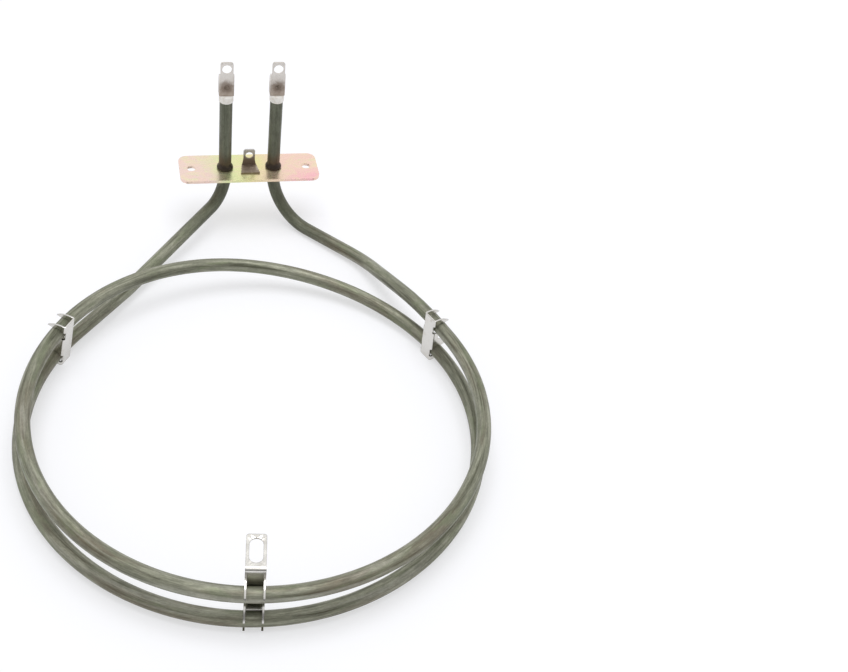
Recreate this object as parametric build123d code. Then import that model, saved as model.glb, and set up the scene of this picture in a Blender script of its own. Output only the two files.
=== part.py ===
from build123d import *

import os
from math import atan2, cos, degrees, hypot, pi, radians, sin, sqrt, tan

# Two-turn ring heating element for a fan oven. One long metal-sheathed tube makes both
# turns and both legs, three folded spring clips hold the turns apart, and a plate carries
# the legs. All sizes are millimetres.
#
# Frame: the origin is the centre of the two screw holes, on the face of the plate that
# meets the oven wall. +X runs from hole to hole, +Y points away from the ring and +Z
# points along the legs to the terminals.

# Tube
TUBE_OD = 6.5
SHEATH_WALL = 0.5
CORE_OD = 2.5
FILL_GAP = 0.04

# Ring: height is that of the tube's centre line
UPPER_CENTRE = (-13.2, -158.1)
UPPER_RADIUS = 99.4
UPPER_Z = -11.1
LOWER_CENTRE = (-14.4, -157.3)
LOWER_RADIUS = 100.7
LOWER_Z = -26.5
FLOOR_Z = -31.4

# Where the clips stand round the ring, in degrees from +X
FRONT_CLIP_AZIMUTH = -98.3
LEFT_CLIP_AZIMUTH = 147.1
RIGHT_CLIP_AZIMUTH = 25.4

# Legs and the leads that run from them to the ring
LEG_PITCH = 25.4
LEG_TOP = 40.8
RIGHT_JOIN_AZIMUTH = 18.1
RIGHT_LEVEL_RUN = 23.6
RIGHT_LEAD_RUN = 83.4
RIGHT_LEAD_DROP = 16.0
RIGHT_LEG_FOOT = -28.8
RIGHT_BEND_RADII = (24.5, 43.3, 176.0)
LEFT_JOIN_AZIMUTH = 139.8
LEFT_LEAD_RUN = 39.4
LEFT_LEG_FOOT = -17.2
LEFT_BEND_RADII = (30.0, 14.4)

# Beads rolled into the sheath, which lock the plate between them
BEAD_RADIUS = 4.25
UPPER_BEAD_HEIGHT = 3.4
LOWER_BEAD_HEIGHT = 1.1

# Mounting plate
PLATE_LENGTH = 72.6
PLATE_WIDTH = 22.8
PLATE_THICKNESS = 1.5
PLATE_CORNER = 4.5
SCREW_PITCH = 60.2
SCREW_HOLE = 4.5
LEG_HOLE = TUBE_OD + 0.1

# Earth tab
EARTH_SHEET = 0.8
EARTH_WIDTH = 6.0
EARTH_BEND_WIDTH = 7.4
EARTH_FOOT_WIDTH = 9.8
EARTH_FOOT_FRONT = -6.0
EARTH_BACK = 2.0
EARTH_HEIGHT = 10.2
EARTH_FLARE_Z = 4.0
EARTH_HOLE = 4.0
EARTH_HOLE_Z = 6.6

# Tube ends
SEAL_LENGTH = 3.0
BUSH_RADIUS = 3.65
BUSH_HEIGHT = 4.2
BUSH_SPIGOT = 3.0
BUSH_ROUND = 0.7
FIT_GAP = 0.05
PIN_FOOT = -1.0
PIN_TOP = 55.0

# Terminals
TERMINAL_SHEET = 0.8
TERMINAL_TAB = 6.3
TERMINAL_BODY = 7.5
TERMINAL_WALL = 3.7
TERMINAL_SHOULDER = 57.5
TERMINAL_TOP = 64.0
TERMINAL_HOLE = 4.8
TERMINAL_HOLE_Z = 60.1
TERMINAL_CORNER = 1.3

# Clips, in a local frame with u outward from the ring, t along the tube and z up
CLIP_SHEET = 0.8
CLIP_WIDTH = 8.0
CLIP_FACE_U = -3.42
CLIP_TOP = 6.2
CLIP_BEND = 1.1
NOTCH_RADIUS = 3.36
WEB_RELIEF_RADIUS = 2.3
WEB_RELIEF_DEPTH = 0.85
HORN_TIP = (4.7, 3.2)
HORN_BACK = (1.6, 5.2)
HOOK_TIP = (4.3, 3.4)
HOOK_BACK = (1.8, 7.0)
HOOK_ROOT_U = -0.9
HOOK_ROOT_RISE = 8.9
TOE_TIP = (3.5, -3.0)
TOE_UNDER_U = 2.3

# Fixing tab of the front clip
FIX_TAB_END = -20.1
FIX_SLOT = (-18.2, -6.8)
FIX_SLOT_WIDTH = 5.3
FIX_TAB_CORNER = 1.2
FIX_BEND = 1.6


def ring_point(centre, radius, azimuth, z):
    """A point of a turn's centre line."""
    angle = radians(azimuth)
    return Vector(centre[0] + radius * cos(angle), centre[1] + radius * sin(angle), z)


def clockwise(azimuth):
    """The direction of travel round the ring, clockwise from above."""
    angle = radians(azimuth)
    return Vector(sin(angle), -cos(angle), 0)


def turn_arc(centre, radius, z, start, end):
    """An arc of a turn, clockwise from start to end azimuth."""
    middle = (start + end) / 2
    return Edge.make_three_point_arc(
        ring_point(centre, radius, start, z),
        ring_point(centre, radius, middle, z),
        ring_point(centre, radius, end, z),
    )


def joining_arcs(start, start_way, end, end_way):
    """Two equal-tangent arcs that join two points smoothly in space."""
    span = end - start
    both = start_way + end_way
    a = 2 - 2 * start_way.dot(end_way)
    b = 2 * span.dot(both)
    c = -span.dot(span)
    reach = (-b + sqrt(b * b - 4 * a * c)) / (2 * a)
    middle = ((start + start_way * reach) + (end - end_way * reach)) * 0.5
    first = Edge.make_tangent_arc(start, start_way, middle)
    second = Edge.make_tangent_arc(middle, first.tangent_at(1), end)
    return [first, second]


def rounded_route(points, radii):
    """Straight runs through the points, joined by tangent arcs of the given radii."""
    edges = []
    here = points[0]
    for before, corner, after, radius in zip(points, points[1:], points[2:], radii):
        back = (before - corner).normalized()
        onward = (after - corner).normalized()
        reach = radius / tan(radians(back.get_angle(onward)) / 2)
        edges.append(Edge.make_line(here, corner + back * reach))
        here = corner + onward * reach
        edges.append(Edge.make_tangent_arc(corner + back * reach, -back, here))
    edges.append(Edge.make_line(here, points[-1]))
    return edges


def right_lead():
    """Centre line from the top of the right leg to the upper turn."""
    way = clockwise(RIGHT_JOIN_AZIMUTH)
    join = ring_point(UPPER_CENTRE, UPPER_RADIUS, RIGHT_JOIN_AZIMUTH, UPPER_Z)
    x = LEG_PITCH / 2
    corners = [
        Vector(x, 0, LEG_TOP),
        Vector(x, 0, RIGHT_LEG_FOOT),
        join - way * RIGHT_LEAD_RUN - Vector(0, 0, RIGHT_LEAD_DROP),
        join - way * RIGHT_LEVEL_RUN,
        join,
    ]
    return rounded_route(corners, RIGHT_BEND_RADII)


def left_lead():
    """Centre line from the lower turn to the top of the left leg."""
    way = clockwise(LEFT_JOIN_AZIMUTH)
    join = ring_point(LOWER_CENTRE, LOWER_RADIUS, LEFT_JOIN_AZIMUTH, LOWER_Z)
    x = -LEG_PITCH / 2
    corners = [
        join,
        join + way * LEFT_LEAD_RUN,
        Vector(x, 0, LEFT_LEG_FOOT),
        Vector(x, 0, LEG_TOP),
    ]
    return rounded_route(corners, LEFT_BEND_RADII)


def ring_edges():
    """Centre line of both turns and the slope that joins them across the back."""
    upper_end = LEFT_CLIP_AZIMUTH - 360
    lower_start = RIGHT_CLIP_AZIMUTH
    lower_end = LEFT_JOIN_AZIMUTH - 360
    slope = joining_arcs(
        ring_point(UPPER_CENTRE, UPPER_RADIUS, upper_end, UPPER_Z),
        clockwise(upper_end),
        ring_point(LOWER_CENTRE, LOWER_RADIUS, lower_start, LOWER_Z),
        clockwise(lower_start),
    )
    upper = turn_arc(UPPER_CENTRE, UPPER_RADIUS, UPPER_Z, RIGHT_JOIN_AZIMUTH, upper_end)
    lower = turn_arc(LOWER_CENTRE, LOWER_RADIUS, LOWER_Z, lower_start, lower_end)
    return [upper, *slope, lower]


def heater_path():
    """The whole centre line in order, from the right leg's top to the left leg's top."""
    return [*right_lead(), *ring_edges(), *left_lead()]


def shortened(edges, start_cut, end_cut):
    """The same path with its first and last straight runs cut short."""
    first, last = edges[0], edges[-1]
    start = first.position_at(0) + first.tangent_at(0) * start_cut
    end = last.position_at(1) - last.tangent_at(1) * end_cut
    first_run = Edge.make_line(start, first.position_at(1))
    last_run = Edge.make_line(last.position_at(0), end)
    return [first_run, *edges[1:-1], last_run]


def along(edges, outer, inner=0.0):
    """A round tube or rod along tangent lines and arcs, each a true cylinder or torus."""
    flat = Circle(outer) - Circle(inner) if inner else Circle(outer)
    pieces = []
    for edge in edges:
        start = edge.position_at(0)
        way = edge.tangent_at(0)
        section = Plane(origin=start, z_dir=way) * flat
        if edge.geom_type == GeomType.LINE:
            pieces.append(extrude(section, amount=edge.length, dir=way))
        else:
            centre = edge.arc_center
            axis = Axis(centre, (start - centre).cross(way))
            pieces.append(revolve(section, axis, degrees(edge.length / edge.radius)))
    return pieces[0].fuse(*pieces[1:]).clean()


def turned(profile, x):
    """A profile of (radius, height) points and arcs revolved about a leg's axis."""
    return Pos(x, 0, 0) * revolve(Plane.XZ * make_face(profile), Axis.Z)


def bead(x, base, height):
    """A bead flared out from a leg, widest on base, that thins away over its height."""
    root = TUBE_OD / 2 - SHEATH_WALL / 2
    outer = BEAD_RADIUS
    neck = TUBE_OD / 2
    tip = base + height
    foot = outer - abs(height) * 0.1
    shoulder = (outer - 0.15, base + height * 0.42)
    waist = (neck + (outer - neck) * 0.3, base + height * 0.62)
    profile = (
        Line((root, base), (foot, base))
        + ThreePointArc((foot, base), (outer, base + height * 0.2), shoulder)
        + ThreePointArc(shoulder, waist, (neck, tip))
        + Polyline((neck, tip), (root, tip), (root, base))
    )
    return turned(profile, x)


def sheath_tube(path):
    """The hollow sheath, with a rolled bead above and below the plate on each leg."""
    tube = along(path, TUBE_OD / 2, TUBE_OD / 2 - SHEATH_WALL)
    beads = []
    for x in (-LEG_PITCH / 2, LEG_PITCH / 2):
        beads.append(bead(x, 0, UPPER_BEAD_HEIGHT))
        beads.append(bead(x, -PLATE_THICKNESS, -LOWER_BEAD_HEIGHT))
    return tube.fuse(*beads).clean()


def magnesia_fill(path):
    """The packed powder between the sheath and the coil, short of the end seals."""
    cut = BUSH_SPIGOT + SEAL_LENGTH
    bore = CORE_OD / 2 + FILL_GAP
    return along(shortened(path, cut, cut), TUBE_OD / 2 - SHEATH_WALL - FILL_GAP, bore)


def heating_coil(path):
    """The outside of the wound resistance wire, between the two cold pins."""
    cut = LEG_TOP - PIN_FOOT
    return along(shortened(path, cut, cut), CORE_OD / 2)


def cold_pin(x):
    """The rod that carries current from the terminal down to the coil."""
    return Pos(x, 0, PIN_FOOT) * Cylinder(
        CORE_OD / 2, PIN_TOP - PIN_FOOT, align=(Align.CENTER, Align.CENTER, Align.MIN)
    )


def end_seal(x):
    """The moisture seal under the bush."""
    low = LEG_TOP - BUSH_SPIGOT - SEAL_LENGTH
    high = LEG_TOP - BUSH_SPIGOT
    bore = CORE_OD / 2 + FILL_GAP
    wall = TUBE_OD / 2 - SHEATH_WALL - FILL_GAP
    outline = Polyline((bore, low), (wall, low), (wall, high), (bore, high), close=True)
    return turned(outline, x)


def end_bush(x):
    """The ceramic bush: a round-edged collar on a spigot inside the sheath."""
    bore = CORE_OD / 2 + FIT_GAP
    spigot = TUBE_OD / 2 - SHEATH_WALL - FIT_GAP
    top = LEG_TOP + BUSH_HEIGHT
    outline = Polyline(
        (bore, LEG_TOP - BUSH_SPIGOT),
        (spigot, LEG_TOP - BUSH_SPIGOT),
        (spigot, LEG_TOP),
        (BUSH_RADIUS, LEG_TOP),
        (BUSH_RADIUS, top),
        (bore, top),
        close=True,
    )
    bush = turned(outline, x)
    rims = [
        edge
        for edge in bush.edges().filter_by(GeomType.CIRCLE)
        if abs(edge.radius - BUSH_RADIUS) < FIT_GAP
    ]
    return fillet(rims, BUSH_ROUND)


def terminal(x):
    """A folded terminal: a channel that clasps the pin from the front, and a flat tab
    with a hole above it."""
    front = -CORE_OD / 2 - TERMINAL_SHEET
    middle = front + TERMINAL_SHEET / 2
    back = front + TERMINAL_SHEET + TERMINAL_WALL
    foot = LEG_TOP + BUSH_HEIGHT
    half_tab = TERMINAL_TAB / 2
    half_body = TERMINAL_BODY / 2
    outline = Polyline(
        (-half_body, foot),
        (half_body, foot),
        (half_body, TERMINAL_SHOULDER - 1),
        (half_tab, TERMINAL_SHOULDER),
        (half_tab, TERMINAL_TOP),
        (-half_tab, TERMINAL_TOP),
        (-half_tab, TERMINAL_SHOULDER),
        (-half_body, TERMINAL_SHOULDER - 1),
        close=True,
    )
    blank = make_face(outline)
    blank = fillet(blank.vertices().group_by(Axis.Y)[-1], TERMINAL_CORNER)
    blank -= Pos(0, TERMINAL_HOLE_Z) * Circle(TERMINAL_HOLE / 2)
    plane = Plane(origin=(x, front, 0), x_dir=(1, 0, 0), z_dir=(0, -1, 0))
    body = extrude(plane * blank, amount=-TERMINAL_SHEET)
    for side in (-1, 1):
        wall = Polyline(
            (middle, foot),
            (back, foot),
            (back, TERMINAL_SHOULDER - 4),
            (back - 2.4, TERMINAL_SHOULDER - 1),
            (middle, TERMINAL_SHOULDER - 1),
            close=True,
        )
        plane = Plane(origin=(x + side * half_body, 0, 0), x_dir=(0, 1, 0), z_dir=(1, 0, 0))
        body += extrude(plane * make_face(wall), amount=-side * TERMINAL_SHEET)
    folds = [
        edge
        for edge in body.edges().filter_by(Axis.Z)
        if abs(edge.center().Y - front) < FIT_GAP
        and abs(abs(edge.center().X - x) - half_body) < FIT_GAP
    ]
    return fillet(folds, TERMINAL_SHEET * 0.9)


def mounting_plate():
    """The plate: two screw holes and two holes that the legs pass through."""
    blank = RectangleRounded(PLATE_LENGTH, PLATE_WIDTH, PLATE_CORNER)
    for side in (-1, 1):
        blank -= Pos(side * SCREW_PITCH / 2, 0) * Circle(SCREW_HOLE / 2)
        blank -= Pos(side * LEG_PITCH / 2, 0) * Circle(LEG_HOLE / 2)
    return extrude(blank, amount=-PLATE_THICKNESS)


def earth_tab():
    """A folded earth tab, welded to the plate between the legs."""
    half = EARTH_WIDTH / 2
    bend = EARTH_BEND_WIDTH / 2
    upright = Polyline(
        (-bend, 0),
        (bend, 0),
        (half, EARTH_FLARE_Z),
        (half, EARTH_HEIGHT - 0.8),
        (half - 0.8, EARTH_HEIGHT),
        (0.8 - half, EARTH_HEIGHT),
        (-half, EARTH_HEIGHT - 0.8),
        (-half, EARTH_FLARE_Z),
        close=True,
    )
    blade = make_face(upright) - Pos(0, EARTH_HOLE_Z) * Circle(EARTH_HOLE / 2)
    plane = Plane(origin=(0, EARTH_BACK, 0), x_dir=(1, 0, 0), z_dir=(0, -1, 0))
    standing = extrude(plane * blade, amount=EARTH_SHEET)
    foot = EARTH_FOOT_WIDTH / 2
    base = Polyline(
        (-bend, EARTH_BACK),
        (-foot, EARTH_FOOT_FRONT),
        (foot, EARTH_FOOT_FRONT),
        (bend, EARTH_BACK),
        close=True,
    )
    lying = extrude(make_face(base), amount=EARTH_SHEET)
    bracket = standing.fuse(lying).clean()
    fold = [
        edge
        for edge in bracket.edges().filter_by(Axis.X)
        if abs(edge.center().Y - EARTH_BACK) < FIT_GAP and abs(edge.center().Z) < FIT_GAP
    ]
    return fillet(fold, EARTH_SHEET * 0.9)


def flange_outline(spacing, shift, low):
    """One clip flange in (u, z): a horn over the upper tube, a hook over the lower tube
    and a toe under it. shift moves the lower seat out and low is the bottom edge."""
    back = CLIP_FACE_U - CLIP_SHEET
    lip = 2.9
    top = spacing + CLIP_TOP
    fold = back + CLIP_BEND + 0.2
    tip = (HORN_TIP[0], spacing + HORN_TIP[1])
    root = (HOOK_ROOT_U, HOOK_ROOT_RISE)
    hook = (HOOK_TIP[0] + shift, HOOK_TIP[1])
    edge = (
        Line((back, top), (fold, top))
        + ThreePointArc((fold, top), (HORN_BACK[0], spacing + HORN_BACK[1]), tip)
        + Polyline(tip, (1.6, spacing + lip), (0, spacing), (HOOK_ROOT_U, spacing - 3), root)
        + ThreePointArc(root, (HOOK_BACK[0] + shift, HOOK_BACK[1]), hook)
        + Polyline(
            hook,
            (1.6 + shift, lip),
            (shift, 0),
            (1.3 + shift, -3.0),
            (TOE_TIP[0] + shift, TOE_TIP[1]),
            (TOE_UNDER_U + shift, low + 0.2),
            (fold, low),
            (back, low),
            (back, top),
        )
    )
    return make_face(edge)


def clip_channel(spacing, shift, low):
    """The folded channel of a clip, open outward, with both flanges notched."""
    flange = flange_outline(spacing, shift, low)
    half = CLIP_WIDTH / 2
    back = CLIP_FACE_U - CLIP_SHEET
    web = Pos(back, 0, low) * Box(
        CLIP_SHEET,
        CLIP_WIDTH,
        spacing + CLIP_TOP - low,
        align=(Align.MIN, Align.CENTER, Align.MIN),
    )
    sides = []
    for t in (-half, half - CLIP_SHEET):
        plane = Plane(origin=(0, t, 0), x_dir=(1, 0, 0), z_dir=(0, -1, 0))
        sides.append(extrude(plane * flange, amount=-CLIP_SHEET))
    channel = web.fuse(*sides).clean()
    folds = [
        edge
        for edge in channel.edges().filter_by(Axis.Z)
        if abs(edge.center().X - back) < FIT_GAP and abs(abs(edge.center().Y) - half) < FIT_GAP
    ]
    channel = fillet(folds, CLIP_BEND)
    relief = Cylinder(WEB_RELIEF_RADIUS, 2 * WEB_RELIEF_DEPTH, rotation=(90, 0, 0))
    seat = Cylinder(NOTCH_RADIUS, 2 * CLIP_WIDTH, rotation=(90, 0, 0))
    for u, z in ((0, spacing), (shift, 0)):
        channel -= Pos(u, 0, z) * seat
        for side in (-1, 1):
            channel -= Pos(CLIP_FACE_U, side * half, z) * relief
    return channel


def fixing_tab(spacing, top):
    """The web carried on past the top fold and bent inward into a slotted tab."""
    back = CLIP_FACE_U - CLIP_SHEET
    face = CLIP_FACE_U
    inner = FIX_BEND - CLIP_SHEET
    bend_z = top - FIX_BEND
    bend_u = face - FIX_BEND
    diagonal = sin(radians(45))
    side = (
        Polyline((bend_u, top), (FIX_TAB_END, top), (FIX_TAB_END, top - CLIP_SHEET))
        + Line((FIX_TAB_END, top - CLIP_SHEET), (bend_u, top - CLIP_SHEET))
        + ThreePointArc(
            (bend_u, top - CLIP_SHEET),
            (bend_u + inner * diagonal, bend_z + inner * diagonal),
            (back, bend_z),
        )
        + Polyline((back, bend_z), (back, spacing), (face, spacing), (face, bend_z))
        + ThreePointArc(
            (face, bend_z),
            (bend_u + FIX_BEND * diagonal, bend_z + FIX_BEND * diagonal),
            (bend_u, top),
        )
    )
    plane = Plane(origin=(0, CLIP_WIDTH / 2, 0), x_dir=(1, 0, 0), z_dir=(0, -1, 0))
    strip = extrude(plane * make_face(side), amount=CLIP_WIDTH)
    slot_length = FIX_SLOT[1] - FIX_SLOT[0]
    slot = SlotOverall(slot_length, FIX_SLOT_WIDTH)
    middle = (FIX_SLOT[0] + FIX_SLOT[1]) / 2
    strip -= Pos(middle, 0, top - CLIP_SHEET) * extrude(slot, CLIP_SHEET)
    corners = [
        edge
        for edge in strip.edges().filter_by(Axis.Z)
        if abs(edge.center().X - FIX_TAB_END) < FIT_GAP
    ]
    return fillet(corners, FIX_TAB_CORNER)


def clip(azimuth, leans, fixing):
    """A clip in place. One that leans lines up with both turns at that azimuth."""
    upper = ring_point(UPPER_CENTRE, UPPER_RADIUS, azimuth, UPPER_Z)
    outward = Vector(cos(radians(azimuth)), sin(radians(azimuth)), 0)
    offset = Vector(*LOWER_CENTRE, 0) - Vector(*UPPER_CENTRE, 0)
    out = offset.dot(outward)
    across = (offset - outward * out).length
    shift = out + sqrt(LOWER_RADIUS**2 - across**2) - UPPER_RADIUS
    rise = UPPER_Z - LOWER_Z
    low = FLOOR_Z - LOWER_Z
    if not leans:
        shape = clip_channel(rise, shift, low)
        if fixing:
            shape = shape.fuse(fixing_tab(rise, -LOWER_Z)).clean()
        return Pos(*(upper - Vector(0, 0, rise))) * Rot(0, 0, azimuth) * shape
    tilt = atan2(shift, rise)
    low = (low - (CLIP_FACE_U - CLIP_SHEET) * sin(abs(tilt))) / cos(tilt)
    shape = clip_channel(hypot(rise, shift), 0, low)
    base = upper + outward * shift - Vector(0, 0, rise)
    return Pos(*base) * Rot(0, 0, azimuth) * Rot(0, -degrees(tilt), 0) * shape


def main():
    """Build every piece and write one file for each."""
    path = heater_path()
    left, right = -LEG_PITCH / 2, LEG_PITCH / 2
    nodes = {
        "sheath_tube": sheath_tube(path),
        "magnesia_fill": magnesia_fill(path),
        "heating_coil": heating_coil(path),
        "mounting_plate": mounting_plate(),
        "earth_tab": earth_tab(),
        "front_clip": clip(FRONT_CLIP_AZIMUTH, False, True),
        "left_clip": clip(LEFT_CLIP_AZIMUTH, True, False),
        "right_clip": clip(RIGHT_CLIP_AZIMUTH, True, False),
    }
    for side, x in (("left", left), ("right", right)):
        nodes[f"{side}_cold_pin"] = cold_pin(x)
        nodes[f"{side}_end_seal"] = end_seal(x)
        nodes[f"{side}_end_bush"] = end_bush(x)
        nodes[f"{side}_terminal"] = terminal(x)
    os.makedirs("parts", exist_ok=True)
    for name, shape in nodes.items():
        export_step(shape, f"parts/{name}.step")
    length = sum(edge.length for edge in path)
    wall = pi * (TUBE_OD - SHEATH_WALL) * SHEATH_WALL
    print("centre line", round(length, 1), "mm, sheath section x length", round(wall * length))


main()
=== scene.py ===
"""Looks of a two-turn ring heating element with its clips, plate and terminals."""
import logging
import math
from dataclasses import dataclass, field
from enum import Enum

import bmesh
import bpy
from mathutils import Matrix, Quaternion, Vector


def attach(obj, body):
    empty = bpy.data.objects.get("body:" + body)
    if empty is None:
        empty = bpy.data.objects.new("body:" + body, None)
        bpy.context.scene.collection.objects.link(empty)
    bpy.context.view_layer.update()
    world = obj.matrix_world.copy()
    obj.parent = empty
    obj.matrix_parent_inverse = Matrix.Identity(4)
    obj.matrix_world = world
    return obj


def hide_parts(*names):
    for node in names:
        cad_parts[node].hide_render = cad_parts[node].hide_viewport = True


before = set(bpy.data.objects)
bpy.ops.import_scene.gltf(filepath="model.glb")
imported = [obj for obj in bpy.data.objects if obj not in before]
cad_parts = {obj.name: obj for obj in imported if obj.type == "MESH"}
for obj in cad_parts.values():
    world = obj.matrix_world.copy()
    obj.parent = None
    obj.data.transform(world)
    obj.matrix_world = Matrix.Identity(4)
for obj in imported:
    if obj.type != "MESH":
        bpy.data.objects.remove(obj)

LOG = logging.getLogger("heating_element")
BODY = "root"
SHEATH_PLACE = "sheath_place"

Colour = tuple[float, float, float]
Range = tuple[float, float]
Scale = tuple[float, float, float]
Socket = bpy.types.NodeSocket
Stop = tuple[float, Colour]


class Blend(Enum):
    """How one colour is laid over another."""

    MIX = "MIX"
    OVERLAY = "OVERLAY"


class Place(Enum):
    """Which coordinates a finish follows."""

    PART = "part"
    SHEATH = "sheath"


class Turn(Enum):
    """The two turns of the ring."""

    UPPER = "upper"
    LOWER = "lower"


def swatch(red: int, green: int, blue: int) -> Colour:
    """A colour written as on a paint card, made linear for the shaders.

    Args:
        red: Red from 0 to 255.
        green: Green from 0 to 255.
        blue: Blue from 0 to 255.

    Returns:
        The linear colour.
    """

    def linear(value: int) -> float:
        """One channel, made linear."""
        share = value / 255
        return share / 12.92 if share <= 0.04045 else ((share + 0.055) / 1.055) ** 2.4

    return (linear(red), linear(green), linear(blue))


@dataclass(frozen=True)
class Clouds:
    """One layer of cloudy variation: clouds per metre, and how it is broken up."""

    scale: float | Scale
    detail: float = 4.0
    roughness: float = 0.55
    folding: float = 0.0


@dataclass(frozen=True)
class Patches:
    """A colour laid on where clouds are thick, from none at start to share at full."""

    colour: Colour
    clouds: Clouds
    start: float
    full: float
    share: float


class NodeBench:
    """Adds nodes to one tree in small steps."""

    def __init__(self, tree: bpy.types.NodeTree) -> None:
        """Work on a tree."""
        self.tree = tree

    def add(self, kind: str) -> bpy.types.Node:
        """A new node of one kind."""
        return self.tree.nodes.new(kind)

    def feed(self, socket: Socket, value: object) -> None:
        """Link a socket to another, or set it to a plain value.

        Args:
            socket: The input to fill.
            value: An output socket, a number, or a tuple.
        """
        if isinstance(value, Socket):
            self.tree.links.new(value, socket)
        elif isinstance(value, tuple) and len(socket.default_value) == 4:
            socket.default_value = (*value, 1.0)
        else:
            socket.default_value = value

    def axis(self, vector: Socket, name: str) -> Socket:
        """One component of a vector.

        Args:
            vector: The vector.
            name: X, Y or Z.

        Returns:
            That component.
        """
        node = self.add("ShaderNodeSeparateXYZ")
        self.feed(node.inputs[0], vector)
        return node.outputs[name]

    def stretch(self, vector: Socket, scale: Scale) -> Socket:
        """Scale coordinates along each axis.

        Args:
            vector: Coordinates in metres.
            scale: What to multiply each axis by.

        Returns:
            The scaled coordinates.
        """
        node = self.add("ShaderNodeVectorMath")
        node.operation = "MULTIPLY"
        self.feed(node.inputs[0], vector)
        self.feed(node.inputs[1], scale)
        return node.outputs["Vector"]

    def cloud(self, vector: Socket, clouds: Clouds) -> Socket:
        """Smooth cloudy variation.

        Args:
            vector: Coordinates to follow.
            clouds: Size and make-up of the clouds.

        Returns:
            A value around one half.
        """
        scale = clouds.scale
        if isinstance(scale, tuple):
            vector, scale = self.stretch(vector, scale), 1.0
        node = self.add("ShaderNodeTexNoise")
        self.feed(node.inputs["Vector"], vector)
        self.feed(node.inputs["Scale"], scale)
        self.feed(node.inputs["Detail"], clouds.detail)
        self.feed(node.inputs["Roughness"], clouds.roughness)
        self.feed(node.inputs["Distortion"], clouds.folding)
        return node.outputs["Fac"]

    def specks(self, vector: Socket, scale: float) -> Socket:
        """Scattered points, for pits and grains.

        Args:
            vector: Coordinates to follow.
            scale: Points per metre of those coordinates.

        Returns:
            The distance to the nearest point.
        """
        node = self.add("ShaderNodeTexVoronoi")
        self.feed(node.inputs["Vector"], vector)
        self.feed(node.inputs["Scale"], scale)
        return node.outputs["Distance"]

    def ramp(self, value: Socket, stops: tuple[Stop, ...]) -> Socket:
        """Colours spread over a value.

        Args:
            value: The value that runs along the ramp.
            stops: Position and colour of each stop, lowest first.

        Returns:
            The colour.
        """
        node = self.add("ShaderNodeValToRGB")
        bands = node.color_ramp.elements
        while len(bands) < len(stops):
            bands.new(1.0)
        for band, (position, colour) in zip(bands, stops):
            band.position = position
            band.color = (*colour, 1.0)
        self.feed(node.inputs["Fac"], value)
        return node.outputs["Color"]

    def span(
        self,
        value: Socket,
        low: float,
        high: float,
        to_low: float = 0.0,
        to_high: float = 1.0,
    ) -> Socket:
        """Map a value from one range to another, smoothly and without overshoot.

        Args:
            value: The value to map.
            low: The value that gives to_low.
            high: The value that gives to_high, which may be the lower number.
            to_low: What low becomes.
            to_high: What high becomes.

        Returns:
            The mapped value.
        """
        node = self.add("ShaderNodeMapRange")
        node.interpolation_type = "SMOOTHSTEP"
        self.feed(node.inputs["Value"], value)
        for label, number in zip(
            ("From Min", "From Max", "To Min", "To Max"), (low, high, to_low, to_high)
        ):
            node.inputs[label].default_value = number
        return node.outputs["Result"]

    def sums(self, operation: str, *values: object) -> Socket:
        """One step of arithmetic.

        Args:
            operation: The step's name, such as ADD.
            values: Up to three numbers or sockets.

        Returns:
            The result.
        """
        node = self.add("ShaderNodeMath")
        node.operation = operation
        for socket, value in zip(node.inputs, values):
            self.feed(socket, value)
        return node.outputs["Value"]

    def waver(self, clouds: Socket, reach: float) -> Socket:
        """Clouds made into an offset around zero, reach wide."""
        return self.sums("MULTIPLY_ADD", clouds, reach, -reach / 2)

    def seen_by(self, *kinds: str) -> Socket:
        """Tell rays apart.

        Args:
            kinds: Kinds of ray, such as Camera or Glossy.

        Returns:
            One for rays of those kinds and zero for others.
        """
        rays = self.add("ShaderNodeLightPath")
        seen = rays.outputs[f"Is {kinds[0]} Ray"]
        for kind in kinds[1:]:
            seen = self.sums("MAXIMUM", seen, rays.outputs[f"Is {kind} Ray"])
        return seen


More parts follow.
